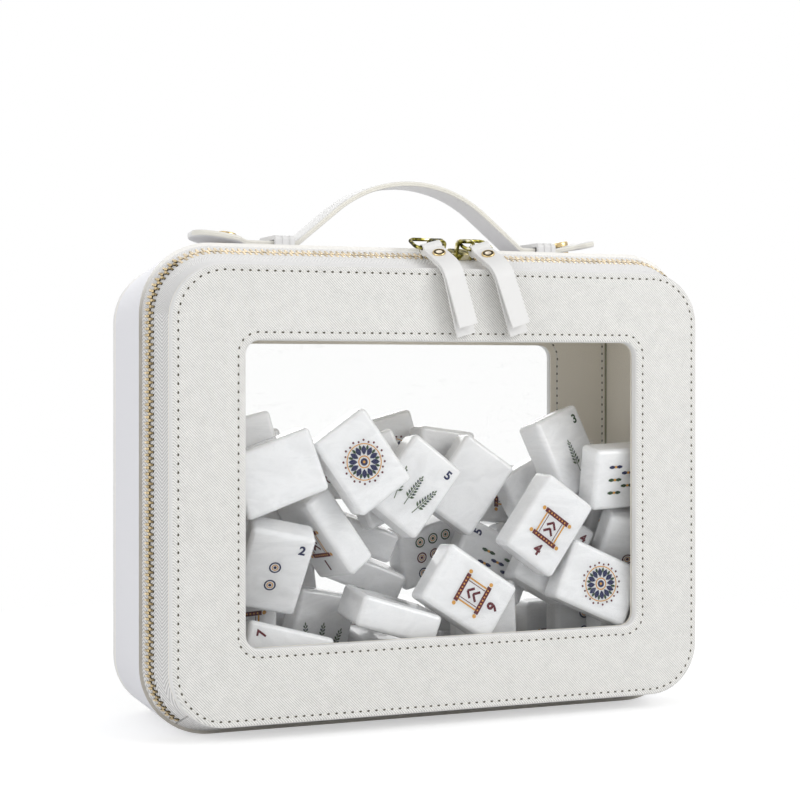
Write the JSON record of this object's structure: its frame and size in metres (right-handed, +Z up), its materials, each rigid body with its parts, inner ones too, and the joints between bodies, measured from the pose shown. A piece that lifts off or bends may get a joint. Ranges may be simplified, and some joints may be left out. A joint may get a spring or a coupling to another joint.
{
  "type": "mahjong case",
  "caption": "Upright zip-round case of off-white leather with clear front and back windows, an arched strap handle, leather zip pulls and a heap of acrylic mahjong tiles.",
  "frame": {"origin": "on the flat base that the case stands on, midway between its sides and between its front and back faces", "axes": "+X to the right as seen from the front, +Y to the back, +Z up; the front with the hanging pulls faces -Y"},
  "size_m": [0.2608, 0.0965, 0.2372],
  "materials": {
    "leather": "off-white imitation leather, fine diagonal grain",
    "smooth_leather": "off-white imitation leather, smooth",
    "board": "stiffening board, sealed inside",
    "lining": "grey-beige woven lining",
    "clear_sheet": "clear flexible sheet",
    "zip_tape": "white herringbone tape",
    "zip_teeth": "bright gold-coloured metal",
    "hardware": "polished gold-coloured metal",
    "tile": "pearly white acrylic"
  },
  "bodies": {
    "case": {"gusset_shell": "smooth_leather", "gusset_stiffener": "board", "gusset_lining": "lining", "back_panel": "leather", "back_stiffener": "board", "back_lining": "lining", "back_window": "clear_sheet", "zip_tape_rear": "zip_tape", "zip_teeth_rear": "zip_teeth", "hinge_strip": "smooth_leather", "keeper_left": "leather", "keeper_right": "leather", "tiles_dots": "tile", "tiles_sticks": "tile", "tiles_leaves": "tile", "tiles_banners": "tile", "tiles_flowers": "tile"},
    "front": {"front_panel": "leather", "front_stiffener": "board", "front_lining": "lining", "front_window": "clear_sheet", "zip_tape_front": "zip_tape", "zip_teeth_front": "zip_teeth"},
    "slider_left": {"slider_left": "hardware"},
    "slider_right": {"slider_right": "hardware"},
    "link_left": {"pull_link_left": "hardware"},
    "link_right": {"pull_link_right": "hardware"},
    "tab_left": {"pull_tab_left": "leather", "pull_rivet_left": "hardware"},
    "tab_right": {"pull_tab_right": "leather", "pull_rivet_right": "hardware"},
    "handle": {"handle_strap": "leather"},
    "handle_end_left": {"handle_end_left": "leather", "stud_left": "hardware"},
    "handle_end_right": {"handle_end_right": "leather", "stud_right": "hardware"}
  },
  "joints": [
    {"name": "front_opens", "type": "hinge", "parent": "case", "child": "front", "pos_m": [0, -0.0388, 0.0065], "axis": [1, 0, 0], "range_deg": [0, 85]},
    {"name": "left_slider_runs", "type": "slide", "parent": "front", "child": "slider_left", "axis": [-1, 0, 0], "range_m": [0, 0.085]},
    {"name": "right_slider_runs", "type": "slide", "parent": "front", "child": "slider_right", "axis": [1, 0, 0], "range_m": [0, 0.077]},
    {"name": "left_link_lifts", "type": "hinge", "parent": "slider_left", "child": "link_left", "pos_m": [0.0026, -0.02807, 0.20794], "axis": [0, 0.9112, 0.412], "range_deg": [0, 90]},
    {"name": "right_link_lifts", "type": "hinge", "parent": "slider_right", "child": "link_right", "pos_m": [0.0124, -0.02807, 0.20794], "axis": [0, -0.9112, -0.412], "range_deg": [0, 90]},
    {"name": "left_tab_swings", "type": "hinge", "parent": "link_left", "child": "tab_left", "pos_m": [-0.0041, -0.0329, 0.20575], "axis": [-1, 0, 0], "range_deg": [0, 75]},
    {"name": "right_tab_swings", "type": "hinge", "parent": "link_right", "child": "tab_right", "pos_m": [0.0191, -0.0329, 0.20575], "axis": [-1, 0, 0], "range_deg": [0, 75]},
    {"name": "handle_presses_down", "type": "slide", "parent": "case", "child": "handle", "axis": [0, 0, -1], "range_m": [0, 0.018], "stiffness_N_per_m": 60, "springref_m": -0.01, "deforming": ["handle_strap"]},
    {"name": "left_end_slides", "type": "slide", "parent": "case", "child": "handle_end_left", "axis": [-1, 0, 0], "range_m": [0, 0.0075]},
    {"name": "right_end_slides", "type": "slide", "parent": "case", "child": "handle_end_right", "axis": [1, 0, 0], "range_m": [0, 0.0075]}
  ],
  "couplings": [
    {"joint": "left_end_slides", "follows": "handle_presses_down", "ratio": 0.4},
    {"joint": "right_end_slides", "follows": "handle_presses_down", "ratio": 0.4}
  ]
}
